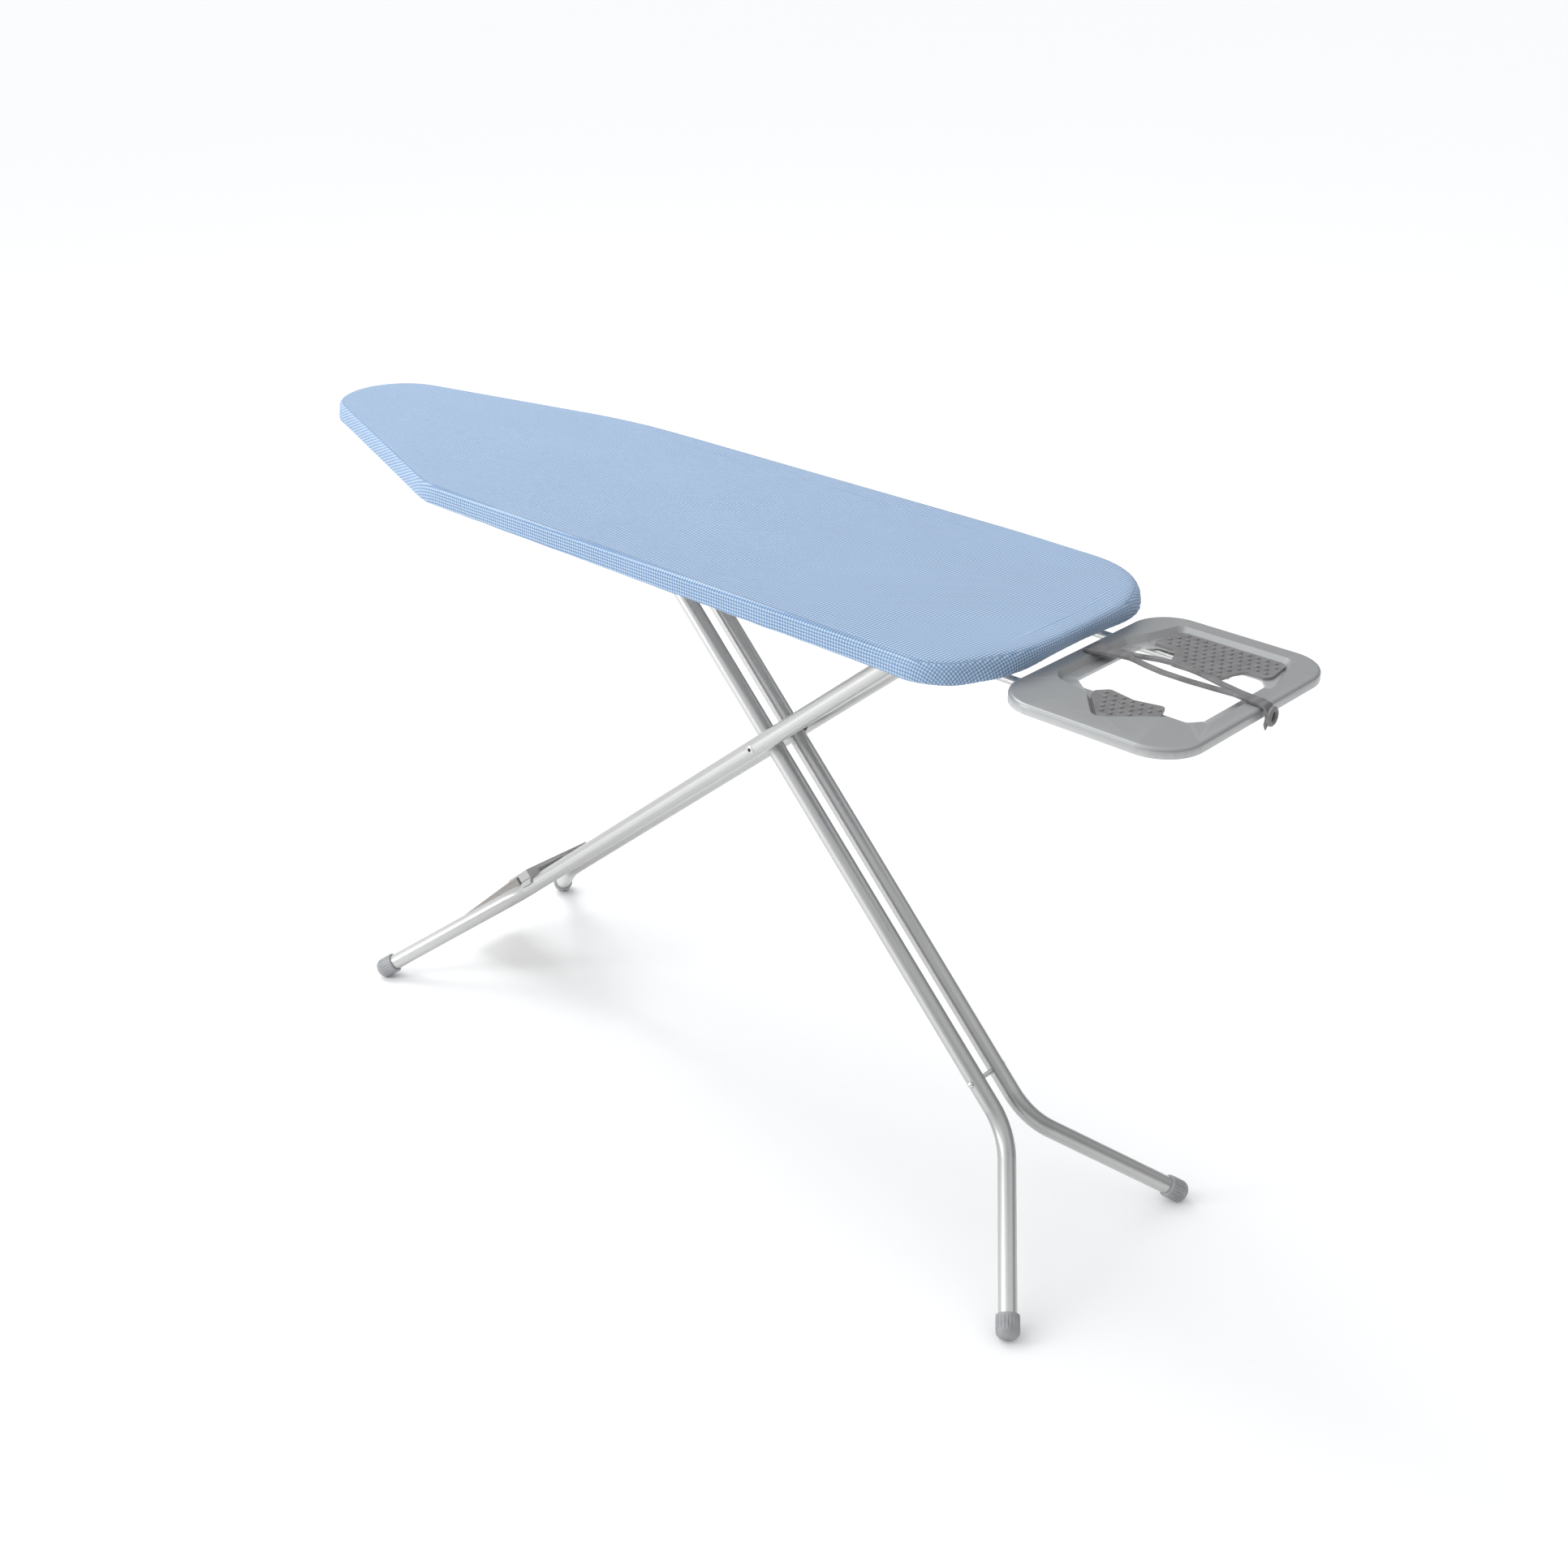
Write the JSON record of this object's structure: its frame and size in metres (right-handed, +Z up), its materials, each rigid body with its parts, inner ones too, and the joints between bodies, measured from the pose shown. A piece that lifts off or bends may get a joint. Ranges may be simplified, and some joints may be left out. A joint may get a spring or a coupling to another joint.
{
  "type": "ironing board",
  "caption": "Folding ironing board with crossed tube legs, woven cotton cover, sliding height rack, release lever and a tray for a steam iron.",
  "frame": {"origin": "on the floor under the middle of the whole object's bounding box", "axes": "+X along the board from its nose to the iron rest, +Y across it to the far side, +Z up"},
  "size_m": [1.4764, 0.3787, 0.795],
  "materials": {
    "cotton": "woven",
    "felt": "matt",
    "elastic": "woven",
    "galvanised_steel": "satin",
    "bright_steel": "polished",
    "tube_paint": "satin metallic",
    "rest_paint": "satin metallic",
    "silicone": "matt",
    "grey_plastic": "satin",
    "black_plastic": "satin"
  },
  "bodies": {
    "board": {"cover": "cotton", "foam_pad": "felt", "hem_elastic": "elastic", "deck_sheet": "galvanised_steel", "rim_nose": "galvanised_steel", "rim_flank_near": "galvanised_steel", "rim_flank_far": "galvanised_steel", "rim_end": "galvanised_steel", "cross_beam_end": "galvanised_steel", "cross_beam_hinge": "galvanised_steel", "cross_beam_nose": "galvanised_steel", "hinge_bracket_near": "galvanised_steel", "hinge_bracket_far": "galvanised_steel", "hinge_rod": "bright_steel", "hinge_rod_caps": "bright_steel", "height_rack_near": "galvanised_steel", "height_rack_far": "galvanised_steel", "deck_rivets": "bright_steel", "lever_bracket": "galvanised_steel", "lever_pin": "bright_steel", "rest_tray": "rest_paint", "rest_pad_far": "silicone", "rest_pad_near": "silicone", "hold_strap": "silicone", "strap_anchor": "black_plastic", "rest_arm_near": "tube_paint", "rest_arm_far": "tube_paint", "arm_hangers": "galvanised_steel", "rest_saddles": "galvanised_steel"},
    "outer_legs": {"outer_tube_near": "tube_paint", "outer_tube_far": "tube_paint", "outer_foot_cap_near": "grey_plastic", "outer_foot_cap_far": "grey_plastic", "outer_tube_plug_near": "black_plastic", "outer_tube_plug_far": "black_plastic", "hinge_sleeve": "bright_steel", "pivot_axle": "bright_steel", "pivot_washers": "black_plastic", "leg_bridge": "tube_paint"},
    "inner_legs": {"inner_tube_near": "tube_paint", "inner_tube_far": "tube_paint", "inner_foot_cap_near": "grey_plastic", "inner_foot_cap_far": "grey_plastic", "inner_tube_plug_near": "black_plastic", "inner_tube_plug_far": "black_plastic", "pivot_sleeve": "bright_steel", "slide_rod": "bright_steel", "slide_rod_sleeve": "bright_steel", "slide_rollers": "black_plastic", "leg_brace_rod": "bright_steel"},
    "height_lever": {"height_lever": "galvanised_steel", "lever_grip": "grey_plastic"}
  },
  "joints": [
    {"name": "fold", "type": "hinge", "parent": "board", "child": "outer_legs", "pos_m": [0.3595, 0, 0.755], "axis": [0, 1, 0], "range_deg": [-8.3, 37.7]},
    {"name": "leg_cross", "type": "hinge", "parent": "outer_legs", "child": "inner_legs", "pos_m": [0.0909, 0, 0.532], "axis": [0, 1, 0], "range_deg": [-81.2, 18]},
    {"name": "lever_press", "type": "hinge", "parent": "board", "child": "height_lever", "pos_m": [-0.1841, 0, 0.774], "axis": [0, -1, 0], "range_deg": [0, 3], "stiffness_Nm_per_rad": 1.5, "springref_deg": -20.05}
  ],
  "couplings": [
    {"joint": "leg_cross", "follows": "fold", "ratio": -2.15}
  ]
}
